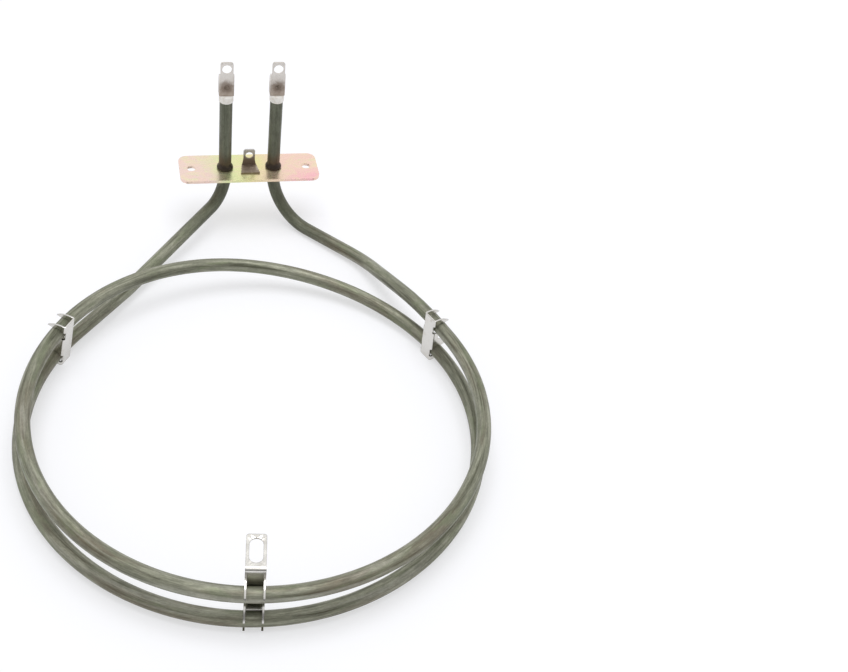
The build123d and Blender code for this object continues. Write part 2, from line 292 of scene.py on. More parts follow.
class FinishBench(NodeBench):
    """Puts one finish together from small steps and ends in a Principled shader."""

    bevel_samples: int = 8
    shade_share: float = 0.6
    rim_start: float = 0.99
    rim_full: float = 0.86

    def __init__(self, name: str) -> None:
        """Start an empty finish.

        Args:
            name: The material's name.
        """
        self.material = bpy.data.materials.new(name)
        self.material.use_nodes = True
        super().__init__(self.material.node_tree)
        self.shader = self.tree.nodes["Principled BSDF"]

    def place(self, which: Place) -> Socket:
        """Coordinates for a finish to follow.

        Args:
            which: The part's frame, or along and round the sheath.

        Returns:
            The coordinates in metres.
        """
        if which is Place.SHEATH:
            node = self.add("ShaderNodeAttribute")
            node.attribute_name = SHEATH_PLACE
            return node.outputs["Vector"]
        return self.add("ShaderNodeTexCoord").outputs["Object"]

    def lay(self, share: object, under: object, over: object, how: Blend = Blend.MIX) -> Socket:
        """Lay one colour over another.

        Args:
            share: How much of the upper colour shows, 0 to 1.
            under: The lower colour.
            over: The upper colour.
            how: The kind of blend.

        Returns:
            The blended colour.
        """
        node = self.add("ShaderNodeMix")
        node.data_type = "RGBA"
        node.blend_type = how.value
        self.feed(node.inputs["Factor"], share)
        self.feed(node.inputs["A"], under)
        self.feed(node.inputs["B"], over)
        return node.outputs["Result"]

    def patch(self, colour: object, vector: Socket, patches: Patches) -> Socket:
        """Lay patches over a colour.

        Args:
            colour: The colour under them.
            vector: Coordinates that the patches follow.
            patches: Their colour, size and strength.

        Returns:
            The patched colour.
        """
        clouds = self.cloud(vector, patches.clouds)
        share = self.span(clouds, patches.start, patches.full, 0.0, patches.share)
        return self.lay(share, colour, patches.colour)

    def shade(self, colour: object, clouds: Socket, span: Range, greys: Range) -> Socket:
        """Darken and lighten a colour by clouds.

        Args:
            colour: The colour to shade.
            clouds: The clouds to shade it by.
            span: Cloud values that give the two greys.
            greys: The grey laid over thin clouds and the one over thick clouds.

        Returns:
            The shaded colour.
        """
        grey = self.ramp(clouds, tuple((at, (tone,) * 3) for at, tone in zip(span, greys)))
        return self.lay(self.shade_share, colour, grey, Blend.OVERLAY)

    def rim(self, reach: float, share: float = 0.6) -> Socket:
        """How near a sharp edge the surface is.

        Args:
            reach: Width of the rim, in metres.
            share: The most that it gives.

        Returns:
            Zero on flat sheet, up to share at its edges.
        """
        rounded = self.add("ShaderNodeBevel")
        rounded.samples = self.bevel_samples
        rounded.inputs["Radius"].default_value = reach
        apart = self.add("ShaderNodeVectorMath")
        apart.operation = "DOT_PRODUCT"
        self.feed(apart.inputs[0], rounded.outputs["Normal"])
        self.feed(apart.inputs[1], self.add("ShaderNodeNewGeometry").outputs["Normal"])
        return self.span(apart.outputs["Value"], self.rim_start, self.rim_full, 0.0, share)

    def relief(self, height: Socket, depth: float, under: object = None) -> Socket:
        """Fine relief of the surface.

        Args:
            height: The relief's height, 0 to 1.
            depth: The height of 1, in metres.
            under: A coarser relief to add this one to.

        Returns:
            The bent normal.
        """
        node = self.add("ShaderNodeBump")
        self.feed(node.inputs["Height"], height)
        node.inputs["Distance"].default_value = depth
        if under is not None:
            self.feed(node.inputs["Normal"], under)
        return node.outputs["Normal"]

    def finish(
        self, colour: object, metallic: float, roughness: object, normal: object = None
    ) -> bpy.types.Material:
        """Set the shader and hand over the material.

        Args:
            colour: Base colour.
            metallic: Metal share, 0 to 1.
            roughness: Roughness, 0 to 1.
            normal: The bent normal, or None for a plain one.

        Returns:
            The finished material.
        """
        self.feed(self.shader.inputs["Base Color"], colour)
        self.shader.inputs["Metallic"].default_value = metallic
        self.feed(self.shader.inputs["Roughness"], roughness)
        if normal is not None:
            self.feed(self.shader.inputs["Normal"], normal)
        return self.material


@dataclass(frozen=True)
class OxidisedSheath:
    """Annealed sheath with an olive-grey oxide film drawn out in streaks."""

    dark: Colour = swatch(80, 81, 63)
    light: Colour = swatch(158, 159, 141)
    # Darker film on the legs, also used as painted shade from the plate on the leads under it.
    leg_film_and_plate_shade: Colour = swatch(88, 92, 75)
    scorch: Colour = swatch(84, 66, 48)
    soot: Colour = swatch(50, 40, 32)
    streaks: Clouds = Clouds((26.0, 620.0, 620.0), 6.0, 0.66, 0.5)
    streak_span: Range = (0.34, 0.64)
    patches: tuple[Patches, ...] = (
        Patches(swatch(104, 92, 74), Clouds((15.0, 110.0, 110.0), 5.0, 0.65), 0.48, 0.66, 0.55),
        Patches(
            swatch(118, 125, 98), Clouds((46.0, 210.0, 210.0), 5.0, 0.62, 0.8), 0.50, 0.66, 0.60
        ),
        Patches(
            swatch(176, 175, 163), Clouds((15.0, 260.0, 260.0), 4.0, 0.6, 0.3), 0.54, 0.72, 0.55
        ),
    )
    blotches: Clouds = Clouds((160.0, 420.0, 420.0), 4.0, 0.6)
    blotch_span: Range = (0.35, 0.65)
    blotch_greys: Range = (0.40, 0.58)
    blotch_depth: float = 6e-5
    grain: Clouds = Clouds((700.0, 3600.0, 3600.0), 3.0, 0.6)
    grain_span: Range = (0.3, 0.7)
    grain_greys: Range = (0.34, 0.66)
    grain_depth: float = 3e-5
    pit_scale: Scale = (900.0, 1500.0, 1500.0)
    pit_span: Range = (0.16, 0.05)
    pit_share: float = 0.35
    metallic: float = 0.3
    gloss_span: Range = (0.32, 0.68)
    roughness: Range = (0.56, 0.38)
    plate_under: float = -0.0035
    leg_back: float = -0.014
    ring_front: float = -0.040
    leg_film_and_shade_share: float = 0.8
    ragged: float = -0.006
    scorch_top: float = 0.0125
    scorch_share: float = 0.8
    soot_top: float = 0.0046
    soot_full: float = 0.0026
    soot_share: float = 0.95

    def film(self, bench: FinishBench, place: Socket) -> Socket:
        """The oxide film's colour, before the heat marks near the plate.

        Args:
            bench: The finish that is being made.
            place: Coordinates along and round the sheath.

        Returns:
            The film's colour.
        """
        streaks = bench.cloud(place, self.streaks)
        colour = bench.ramp(streaks, tuple(zip(self.streak_span, (self.dark, self.light))))
        for patches in self.patches:
            colour = bench.patch(colour, place, patches)
        return colour

    def heat_marks(
        self, bench: FinishBench, colour: Socket, part: Socket, blotches: Socket
    ) -> Socket:
        """Darken the legs and the leads under the plate, partly as their own darker oxide and
        partly as painted shade from the plate, and scorch them where they come out of the plate.

        Args:
            bench: The finish that is being made.
            colour: The film's colour.
            part: Coordinates in the part's frame.
            blotches: The clouds that make the scorched edge ragged.

        Returns:
            The marked colour.
        """
        # Legs and leads near the plate get the darker film: partly the legs' own oxide, partly
        # painted shade cast by the plate.
        leg = bench.span(bench.axis(part, "Y"), self.ring_front, self.leg_back)
        colour = bench.lay(bench.sums("MULTIPLY", leg, self.leg_film_and_shade_share), colour, self.leg_film_and_plate_shade)
        height = bench.axis(part, "Z")
        above = bench.sums("GREATER_THAN", height, self.plate_under)
        level = bench.sums("ADD", height, bench.waver(blotches, self.ragged))
        for tint, top, full, share in (
            (self.scorch, self.scorch_top, self.soot_top, self.scorch_share),
            (self.soot, self.soot_top, self.soot_full, self.soot_share),
        ):
            burnt = bench.span(level, top, full, 0.0, share)
            colour = bench.lay(bench.sums("MULTIPLY", burnt, above), colour, tint)
        return colour

    def build(self) -> bpy.types.Material:
        """Make the material.

        Returns:
            The sheath's material, which reads the sheath_place attribute.
        """
        bench = FinishBench("oxidised_sheath")
        place = bench.place(Place.SHEATH)
        blotches = bench.cloud(place, self.blotches)
        grain = bench.cloud(place, self.grain)
        colour = self.film(bench, place)
        colour = self.heat_marks(bench, colour, bench.place(Place.PART), blotches)
        colour = bench.shade(colour, grain, self.grain_span, self.grain_greys)
        colour = bench.shade(colour, blotches, self.blotch_span, self.blotch_greys)
        specks = bench.specks(bench.stretch(place, self.pit_scale), 1.0)
        pits = bench.sums("MULTIPLY", bench.span(specks, *self.pit_span), self.pit_share)
        colour = bench.lay(pits, colour, self.scorch)
        roughness = bench.span(blotches, *self.gloss_span, *self.roughness)
        normal = bench.relief(grain, self.grain_depth, bench.relief(blotches, self.blotch_depth))
        return bench.finish(colour, self.metallic, roughness, normal)


@dataclass(frozen=True)
class PassivatedZinc:
    """Zinc plating whose yellow passivation shades into green and pink."""

    beige: Colour = swatch(238, 213, 203)
    green: Colour = swatch(224, 231, 176)
    yellow: Colour = swatch(234, 226, 168)
    pink: Colour = swatch(243, 210, 196)
    rose: Colour = swatch(246, 188, 196)
    half_length: float = 0.0363
    wander: Clouds = Clouds(60.0, 3.0, 0.5, 0.6)
    wander_reach: float = 0.34
    stops: tuple[float, ...] = (0.05, 0.26, 0.55, 0.80)
    rose_front: Range = (0.002, -0.011)
    rose_right: Range = (0.012, 0.034)
    straw: Patches = Patches(
        swatch(238, 228, 184), Clouds(150.0, 3.0, 0.5, 1.2), 0.46, 0.66, 0.45
    )
    bands: Clouds = Clouds((90.0, 210.0, 90.0), 3.0, 0.5, 1.6)
    pink_span: Range = (0.52, 0.66)
    green_span: Range = (0.44, 0.34)
    band_share: float = 0.4
    rolled: Clouds = Clouds((160.0, 2400.0, 300.0), 3.0)
    metallic: float = 0.85
    gloss_span: Range = (0.3, 0.7)
    roughness: Range = (0.24, 0.34)
    depth: float = 1.5e-6

    def build(self) -> bpy.types.Material:
        """Make the material.

        Returns:
            The plate's material.
        """
        bench = FinishBench("passivated_zinc")
        part = bench.place(Place.PART)
        drift = bench.waver(bench.cloud(part, self.wander), self.wander_reach)
        along = bench.span(bench.axis(part, "X"), -self.half_length, self.half_length)
        hues = (self.beige, self.green, self.yellow, self.pink)
        colour = bench.ramp(bench.sums("ADD", along, drift), tuple(zip(self.stops, hues)))
        front = bench.span(bench.axis(part, "Y"), *self.rose_front)
        right = bench.span(bench.axis(part, "X"), *self.rose_right)
        colour = bench.lay(bench.sums("MULTIPLY", front, right), colour, self.rose)
        colour = bench.patch(colour, part, self.straw)
        bands = bench.cloud(part, self.bands)
        for hue, span in ((self.pink, self.pink_span), (self.green, self.green_span)):
            colour = bench.lay(bench.span(bands, *span, 0.0, self.band_share), colour, hue)
        rolled = bench.cloud(part, self.rolled)
        roughness = bench.span(rolled, *self.gloss_span, *self.roughness)
        return bench.finish(colour, self.metallic, roughness, bench.relief(rolled, self.depth))


@dataclass(frozen=True)
class SpringSteel:
    """Bright rolled stainless sheet with darker sheared rims and handling marks."""

    base: Colour = swatch(216, 214, 209)
    rim: Colour = swatch(160, 158, 156)
    rim_reach: float = 0.0008
    marks: tuple[Patches, ...] = (
        Patches(swatch(205, 201, 193), Clouds(260.0, 4.0, 0.6, 0.8), 0.50, 0.70, 0.7),
        Patches(swatch(150, 138, 120), Clouds(210.0, 5.0, 0.65, 0.6), 0.60, 0.74, 0.6),
    )
    rolled: Clouds = Clouds((300.0, 300.0, 5000.0))
    gloss_span: Range = (0.3, 0.7)
    roughness: Range = (0.16, 0.27)
    depth: float = 2e-6

    def build(self) -> bpy.types.Material:
        """Make the material.

        Returns:
            The clips' material.
        """
        bench = FinishBench("spring_steel")
        part = bench.place(Place.PART)
        colour = self.base
        for marks in self.marks:
            colour = bench.patch(colour, part, marks)
        colour = bench.lay(bench.rim(self.rim_reach), colour, self.rim)
        rolled = bench.cloud(part, self.rolled)
        roughness = bench.span(rolled, *self.gloss_span, *self.roughness)
        return bench.finish(colour, 1.0, roughness, bench.relief(rolled, self.depth))


@dataclass(frozen=True)
class TintedNickel:
    """Nickel plated sheet, browned by the heat of the spot weld that holds the pin."""

    base: Colour = swatch(218, 213, 207)
    tint: Colour = swatch(156, 140, 125)
    halo: Colour = swatch(118, 103, 90)
    weld: Colour = swatch(76, 66, 56)
    heat: Clouds = Clouds(620.0, 5.0, 0.65)
    ragged: float = 0.008
    tint_low: float = 0.0455
    tint_high: float = 0.0575
    tint_share: float = 0.8
    weld_side: float = 0.0127
    weld_height: float = 0.0500
    weld_radius: float = 0.0017
    weld_ragged: float = 0.3
    halo_radius: float = 0.00493
    halo_share: float = 0.8
    pressed_radius: float = 0.00102
    burn_span: Range = (0.36, 0.60)
    burn_shares: Range = (0.15, 0.85)
    rim_reach: float = 0.0005
    rim_share: float = 0.35
    fine: Clouds = Clouds(2600.0, 3.0)
    gloss_span: Range = (0.3, 0.7)
    roughness: Range = (0.26, 0.42)
    fine_depth: float = 1.2e-5
    dent_depth: float = 1e-4

    def weld_distance(self, bench: FinishBench, part: Socket) -> Socket:
        """Distance from the middle of the weld mark, seen from the front.

        Args:
            bench: The finish that is being made.
            part: Coordinates in the part's frame.

        Returns:
            The distance in metres.
        """
        side = bench.sums("ABSOLUTE", bench.axis(part, "X"))
        across = bench.sums("SUBTRACT", side, self.weld_side)
        along = bench.sums("SUBTRACT", bench.axis(part, "Z"), self.weld_height)
        squares = (bench.sums("POWER", reach, 2.0) for reach in (across, along))
        return bench.sums("SQRT", bench.sums("ADD", *squares))

    def build(self) -> bpy.types.Material:
        """Make the material.

        Returns:
            The terminals' material.
        """
        bench = FinishBench("tinted_nickel")
        part = bench.place(Place.PART)
        heat = bench.cloud(part, self.heat)
        ragged = bench.waver(heat, self.ragged)
        height = bench.sums("ADD", bench.axis(part, "Z"), ragged)
        heated = bench.span(height, self.tint_high, self.tint_low, 0.0, self.tint_share)
        colour = bench.lay(heated, self.base, self.tint)
        frayed = bench.sums("MULTIPLY", ragged, self.weld_ragged)
        away = bench.sums("ADD", self.weld_distance(bench, part), frayed)
        halo = bench.span(away, self.halo_radius, self.weld_radius, 0.0, self.halo_share)
        colour = bench.lay(halo, colour, self.halo)
        pressed = bench.span(away, self.weld_radius, self.pressed_radius)
        burnt = bench.span(heat, *self.burn_span, *self.burn_shares)
        colour = bench.lay(bench.sums("MULTIPLY", pressed, burnt), colour, self.weld)
        colour = bench.lay(bench.rim(self.rim_reach, self.rim_share), colour, self.tint)
        fine = bench.cloud(part, self.fine)
        roughness = bench.span(fine, *self.gloss_span, *self.roughness)
        dent = bench.relief(bench.sums("SUBTRACT", 1.0, pressed), self.dent_depth)
        return bench.finish(colour, 1.0, roughness, bench.relief(fine, self.fine_depth, dent))


@dataclass(frozen=True)
class ScorchedSteel:
    """Earth tab steel: brown from the weld at its foot, grey at its rim, with painted highlights
    in patches on the foot.
    """

    brown: Colour = swatch(146, 132, 116)
    grey: Colour = swatch(196, 193, 190)
    # Pale colour of the painted highlights at the spot welds on the foot.
    weld: Colour = swatch(214, 206, 188)
    heat: Clouds = Clouds(700.0, 4.0, 0.6)
    ragged: float = 0.003
    brown_top: float = 0.0046
    grey_low: float = 0.0072
    foot_glint: Clouds = Clouds(330.0, 3.0)
    foot_glint_span: Range = (0.60, 0.72)
    foot_glint_share: float = 0.7
    foot_top: float = 0.0012
    metallic: float = 0.8
    gloss_span: Range = (0.3, 0.7)
    roughness: Range = (0.34, 0.55)
    depth: float = 4e-5

    def build(self) -> bpy.types.Material:
        """Make the material.

        Returns:
            The earth tab's material.
        """
        bench = FinishBench("scorched_steel")
        part = bench.place(Place.PART)
        height = bench.axis(part, "Z")
        heat = bench.cloud(part, self.heat)
        level = bench.sums("ADD", height, bench.waver(heat, self.ragged))
        cool = bench.span(level, self.brown_top, self.grey_low)
        colour = bench.lay(cool, self.brown, self.grey)
        # Pale patches on the foot are painted highlights where the spot welds shine.
        foot_glint = bench.span(bench.cloud(part, self.foot_glint), *self.foot_glint_span, 0.0, self.foot_glint_share)
        foot = bench.sums("LESS_THAN", height, self.foot_top)
        colour = bench.lay(bench.sums("MULTIPLY", foot_glint, foot), colour, self.weld)
        roughness = bench.span(heat, *self.gloss_span, *self.roughness)
        return bench.finish(colour, self.metallic, roughness, bench.relief(heat, self.depth))


@dataclass(frozen=True)
class PlainGrains:
    """A finish with one base colour, one darker grain and a fine relief."""

    name: str
    base: Colour
    grain: Colour
    grains_per_metre: float
    metallic: float
    roughness: Range
    depth: float
    grain_span: Range = (0.42, 0.72)
    grain_share: float = 0.8
    pits_per_grain: float = 2.5
    pit_span: Range = (0.16, 0.05)
    pit_share: float = 0.35
    gloss_span: Range = (0.3, 0.7)

    def build(self) -> bpy.types.Material:
        """Make the material.

        Returns:
            The finished material.
        """
        bench = FinishBench(self.name)
        part = bench.place(Place.PART)
        cloud = bench.cloud(part, Clouds(self.grains_per_metre, 5.0, 0.6))
        grains = bench.span(cloud, *self.grain_span, 0.0, self.grain_share)
        colour = bench.lay(grains, self.base, self.grain)
        specks = bench.specks(part, self.grains_per_metre * self.pits_per_grain)
        pits = bench.span(specks, *self.pit_span, 0.0, self.pit_share)
        colour = bench.lay(pits, colour, self.grain)
        roughness = bench.span(cloud, *self.gloss_span, *self.roughness)
        return bench.finish(colour, self.metallic, roughness, bench.relief(cloud, self.depth))


class Stock(Enum):
    """The plain finishes, one for each material that needs no more than grain."""

    CERAMIC = PlainGrains(
        name="steatite_ceramic",
        base=swatch(252, 249, 244),
        grain=swatch(232, 224, 212),
        grains_per_metre=500.0,
        metallic=0.0,
        roughness=(0.36, 0.55),
        depth=3e-5,
    )
    POWDER = PlainGrains(
        name="packed_magnesia",
        base=swatch(236, 234, 226),
        grain=swatch(205, 200, 190),
        grains_per_metre=900.0,
        metallic=0.0,
        roughness=(0.8, 0.95),
        depth=5e-5,
    )
    WIRE = PlainGrains(
        name="resistance_wire",
        base=swatch(140, 132, 124),
        grain=swatch(96, 88, 82),
        grains_per_metre=1500.0,
        metallic=0.9,
        roughness=(0.4, 0.55),
        depth=4e-5,
    )
    SEAL = PlainGrains(
        name="silicone_seal",
        base=swatch(176, 96, 70),
        grain=swatch(140, 74, 54),
        grains_per_metre=700.0,
        metallic=0.0,
        roughness=(0.45, 0.6),
        depth=2e-5,
    )
    PIN = PlainGrains(
        name="pin_steel",
        base=swatch(168, 158, 148),
        grain=swatch(118, 102, 88),
        grains_per_metre=900.0,
        metallic=1.0,
        roughness=(0.3, 0.5),
        depth=2e-5,
    )


@dataclass
class Route:
    """A line in space made of straight runs and round bends, as evenly spaced stations."""

    bend_step: float = math.radians(3.0)
    ring_step: float = math.radians(1.2)
    points: list[Vector] = field(default_factory=list)

    def run_to(self, point: Vector, spacing: float = 0.0) -> None:
        """Carry on straight to a point.

        Args:
            point: Where to go.
            spacing: Distance between stations on the way, or zero for none.
        """
        if self.points and spacing:
            span = point - self.points[-1]
            count = max(1, round(span.length / spacing))
            start = self.points[-1].copy()
            self.points += [start + span * (i / count) for i in range(1, count)]
        self.points.append(point.copy())

    def arc(self, start: Vector, way: Vector, end: Vector, step: float) -> Vector:
        """Add an arc that leaves start along way and reaches end.

        Args:
            start: Where the arc begins.
            way: Unit direction of travel at its start.
            end: Where the arc stops.
            step: Angle between stations, in radians.

        Returns:
            The direction of travel at the end.
        """
        chord = end - start
        toward = way.cross(chord).cross(way).normalized()
        radius = chord.length_squared / (2 * chord.dot(toward))
        centre = start + toward * radius
        axis = way.cross(toward)
        swept = 2 * math.atan2(chord.dot(toward), chord.dot(way))
        count = max(2, math.ceil(swept / step))
        for i in range(1, count + 1):
            turn = Quaternion(axis, swept * i / count)
            self.points.append(centre + turn @ (start - centre))
        return Quaternion(axis, swept) @ way

    def rounded(self, corners: list[Vector], radii: tuple[float, ...], spacing: float) -> None:
        """Straight runs through corners, each rounded to its radius.

        Args:
            corners: The start, the corners to round, and the end.
            radii: A radius for each corner to round.
            spacing: Distance between stations on the straight runs.
        """
        self.run_to(corners[0])
        for before, corner, after, radius in zip(corners, corners[1:], corners[2:], radii):
            back = (before - corner).normalized()
            onward = (after - corner).normalized()
            reach = radius / math.tan(back.angle(onward) / 2)
            self.run_to(corner + back * reach, spacing)
            self.arc(corner + back * reach, -back, corner + onward * reach, self.bend_step)
        self.run_to(corners[-1], spacing)


@dataclass
class HeatingSheath:
    """The one long sheath: right leg, upper turn, back slope, lower turn, left leg."""

    radius: float = 0.00325
    wall: float = 0.0005
    upper_centre: tuple[float, float] = (-0.0132, -0.1581)
    upper_radius: float = 0.0994
    upper_height: float = -0.0111
    lower_centre: tuple[float, float] = (-0.0144, -0.1573)
    lower_radius: float = 0.1007
    lower_height: float = -0.0265
    slope_start: float = 147.1
    slope_end: float = 25.4
    leg_side: float = 0.0127
    leg_top: float = 0.0408
    leg_tolerance: float = 1e-6
    right_join: float = 18.1
    right_level_run: float = 0.0236
    right_lead_run: float = 0.0834
    right_lead_drop: float = 0.016
    right_foot: float = -0.0288
    right_bends: tuple[float, ...] = (0.0245, 0.0433, 0.176)
    left_join: float = 139.8
    left_lead_run: float = 0.0394
    left_foot: float = -0.0172
    left_bends: tuple[float, ...] = (0.03, 0.0144)
    plate: float = 0.0015
    bead_swell: float = 0.001
    bead_top: float = 0.0034
    bead_low: float = 0.0011
    bead_profile: tuple[tuple[float, float], ...] = (
        (0.0, 0.70), (0.2, 1.0), (0.42, 0.85), (0.62, 0.3), (1.0, 0.0)
    )
    sides: int = 48
    station_spacing: float = 0.00045
    crease: float = math.radians(50)

    def ring_point(self, turn: Turn, azimuth: float) -> Vector:
        """A point on a turn's centre line.

        Args:
            turn: The turn.
            azimuth: Direction from the turn's centre, in degrees.

        Returns:
            The point in metres.
        """
        upper = turn is Turn.UPPER
        centre = self.upper_centre if upper else self.lower_centre
        radius = self.upper_radius if upper else self.lower_radius
        height = self.upper_height if upper else self.lower_height
        angle = math.radians(azimuth)
        x = centre[0] + radius * math.cos(angle)
        y = centre[1] + radius * math.sin(angle)
        return Vector((x, y, height))

    @staticmethod
    def clockwise(azimuth: float) -> Vector:
        """Direction of travel round the ring at an azimuth, clockwise from above."""
        angle = math.radians(azimuth)
        return Vector((math.sin(angle), -math.cos(angle), 0.0))

    def add_turn(self, route: Route, turn: Turn, start: float, end: float) -> None:
        """Add part of a turn to the route, clockwise.

        Args:
            route: The route to carry on.
            turn: Which turn the part belongs to.
            start: Azimuth where it starts, in degrees.
            end: Azimuth where it ends, in degrees, below start.
        """
        count = math.ceil(math.radians(start - end) / route.ring_step)
        for i in range(1, count + 1):
            route.points.append(self.ring_point(turn, start + (end - start) * i / count))

    def add_slope(self, route: Route) -> None:
        """Add the two arcs that carry the tube across the back, down to the lower turn.

        Args:
            route: The route to carry on.
        """
        start = self.ring_point(Turn.UPPER, self.slope_start)
        end = self.ring_point(Turn.LOWER, self.slope_end)
        start_way = self.clockwise(self.slope_start)
        end_way = self.clockwise(self.slope_end)
        span = end - start
        # Both arcs take the same tangent length, the positive root of a quadratic.
        square = 2 - 2 * start_way.dot(end_way)
        plain = 2 * span.dot(start_way + end_way)
        root = math.sqrt(plain * plain + 4 * square * span.length_squared)
        reach = (root - plain) / (2 * square)
        middle = ((start + start_way * reach) + (end - end_way * reach)) / 2
        way = route.arc(start, start_way, middle, route.ring_step)
        route.arc(middle, way, end, route.ring_step)

    def route(self) -> list[Vector]:
        """Stations of the whole centre line.

        Returns:
            Points in metres, from the right leg's top to the left leg's top.
        """
        route = Route()
        way = self.clockwise(self.right_join)
        join = self.ring_point(Turn.UPPER, self.right_join)
        drop = Vector((0.0, 0.0, self.right_lead_drop))
        leads = [
            Vector((self.leg_side, 0.0, self.leg_top)),
            Vector((self.leg_side, 0.0, self.right_foot)),
            join - way * self.right_lead_run - drop,
            join - way * self.right_level_run,
            join,
        ]
        route.rounded(leads, self.right_bends, self.station_spacing)
        self.add_turn(route, Turn.UPPER, self.right_join, self.slope_start - 360)
        self.add_slope(route)
        self.add_turn(route, Turn.LOWER, self.slope_end, self.left_join - 360)
        way = self.clockwise(self.left_join)
        join = self.ring_point(Turn.LOWER, self.left_join)
        leads = [
            join,
            join + way * self.left_lead_run,
            Vector((-self.leg_side, 0.0, self.left_foot)),
            Vector((-self.leg_side, 0.0, self.leg_top)),
        ]
        del route.points[-1]
        route.rounded(leads, self.left_bends, self.station_spacing)
        return route.points

    def swell(self, point: Vector) -> float:
        """Outside radius at a station: the tube's own, or the flared bead's by the plate.

        Args:
            point: The station.

        Returns:
            The radius in metres.
        """
        aside = max(abs(abs(point.x) - self.leg_side), abs(point.y))
        if aside > self.leg_tolerance:
            return self.radius
        if point.z >= 0.0:
            share = point.z / self.bead_top
        else:
            share = max(0.0, -point.z - self.plate) / self.bead_low
        if share >= 1.0 or -self.plate < point.z < 0.0:
            return self.radius
        for (low, thin), (high, thick) in zip(self.bead_profile, self.bead_profile[1:]):
            if share <= high:
                across = (share - low) / (high - low)
                smooth = across * across * (3.0 - 2.0 * across)
                return self.radius + self.bead_swell * (thin + (thick - thin) * smooth)
        return self.radius

    def build(self) -> bpy.types.Object:
        """Sweep the hollow sheath along its route.

        Returns:
            The sheath as one closed mesh that stands for the solid tube.
        """
        points = self.route()
        mesh = bmesh.new()
        place = mesh.verts.layers.float_vector.new(SHEATH_PLACE)
        side = Vector((0.0, -1.0, 0.0))
        travelled = 0.0
        outer: list[list[bmesh.types.BMVert]] = []
        inner: list[list[bmesh.types.BMVert]] = []
        for index, point in enumerate(points):
            before = points[max(index - 1, 0)]
            after = points[min(index + 1, len(points) - 1)]
            way = (after - before).normalized()
            side = (side - way * side.dot(way)).normalized()
            across = way.cross(side)
            travelled += (point - before).length
            for rings, radius in ((outer, self.swell(point)), (inner, self.radius - self.wall)):
                ring = []
                for step in range(self.sides):
                    angle = 2 * math.pi * step / self.sides
                    offset = side * math.cos(angle) + across * math.sin(angle)
                    vert = mesh.verts.new(point + offset * radius)
                    around = (radius * math.cos(angle), radius * math.sin(angle))
                    vert[place] = Vector((travelled, *around))
                    ring.append(vert)
                rings.append(ring)
        for rings, flip in ((outer, False), (inner, True)):
            for first, second in zip(rings, rings[1:]):
                self.skin(mesh, first, second, flip)
        self.skin(mesh, inner[0], outer[0], False)
        self.skin(mesh, outer[-1], inner[-1], False)
        bmesh.ops.recalc_face_normals(mesh, faces=mesh.faces)
        data = bpy.data.meshes.new("sheath")
        mesh.to_mesh(data)
        mesh.free()
        data.shade_smooth()
        data.set_sharp_from_angle(angle=self.crease)
        sheath = bpy.data.objects.new("sheath", data)
        bpy.context.scene.collection.objects.link(sheath)
        return sheath

    @staticmethod
    def skin(
        mesh: bmesh.types.BMesh,
        first: list[bmesh.types.BMVert],
        second: list[bmesh.types.BMVert],
        flip: bool,
    ) -> None:
        """Join two rings of points with a band of faces.

        Args:
            mesh: The mesh to add to.
            first: The ring that the band starts from.
            second: The ring that it ends on.
            flip: Whether the faces look inwards.
        """
        count = len(first)
        for i in range(count):
            after = (i + 1) % count
            corners = [first[i], first[after], second[after], second[i]]
            mesh.faces.new(corners[::-1] if flip else corners)

    def dress(self) -> None:
        """Build the sheath and give it its finish."""
        sheath = self.build()
        sheath.data.materials.append(OxidisedSheath().build())
        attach(sheath, BODY)
        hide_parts("sheath_tube")
        LOG.info("sheath: %d faces", len(sheath.data.polygons))


@dataclass(frozen=True)
class SoftEdges:
    """Small rounding of a sheet-metal piece's edges, made with modifiers only."""

    width: float
    segments: int = 2
    weld_gap: float = 2e-6
    sharp_from: float = math.radians(42)
    shading_weight: int = 80

    def soften(self, name: str) -> None:
        """Round the sharp edges of one piece of the frame.

        Args:
            name: The piece's node name.
        """
        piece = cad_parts[name]
        weld = piece.modifiers.new("weld", "WELD")
        weld.merge_threshold = self.weld_gap
        bevel = piece.modifiers.new("edges", "BEVEL")
        bevel.width = self.width
        bevel.segments = self.segments
        bevel.limit_method = "ANGLE"
        bevel.angle_limit = self.sharp_from
        bevel.use_clamp_overlap = True
        shading = piece.modifiers.new("shading", "WEIGHTED_NORMAL")
        shading.weight = self.shading_weight
        shading.keep_sharp = False


def paint(name: str, material: bpy.types.Material) -> None:
    """Give a piece of the frame its finish.

    Args:
        name: The piece's node name.
        material: The finished material.
    """
    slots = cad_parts[name].data.materials
    slots.clear()
    slots.append(material)
    LOG.info("%s: %s", name, material.name)


@dataclass
class RetainingClips:
    """The three folded spring clips that hold the turns apart."""

    names: tuple[str, ...] = ("front_clip", "left_clip", "right_clip")
    edges: SoftEdges = SoftEdges(0.00011)

    def dress(self) -> None:
        """Round the sheet's edges and finish the clips."""
        steel = SpringSteel().build()
        for name in self.names:
            self.edges.soften(name)
            paint(name, steel)


@dataclass
class MountingFlange:
    """The plate that carries the legs, and the earth tab welded on it."""

    plate_edges: SoftEdges = SoftEdges(0.00018, 3)
    tab_edges: SoftEdges = SoftEdges(0.0001)

    def dress(self) -> None:
        """Round the edges and finish both pieces."""
        self.plate_edges.soften("mounting_plate")
        paint("mounting_plate", PassivatedZinc().build())
        self.tab_edges.soften("earth_tab")
        paint("earth_tab", ScorchedSteel().build())


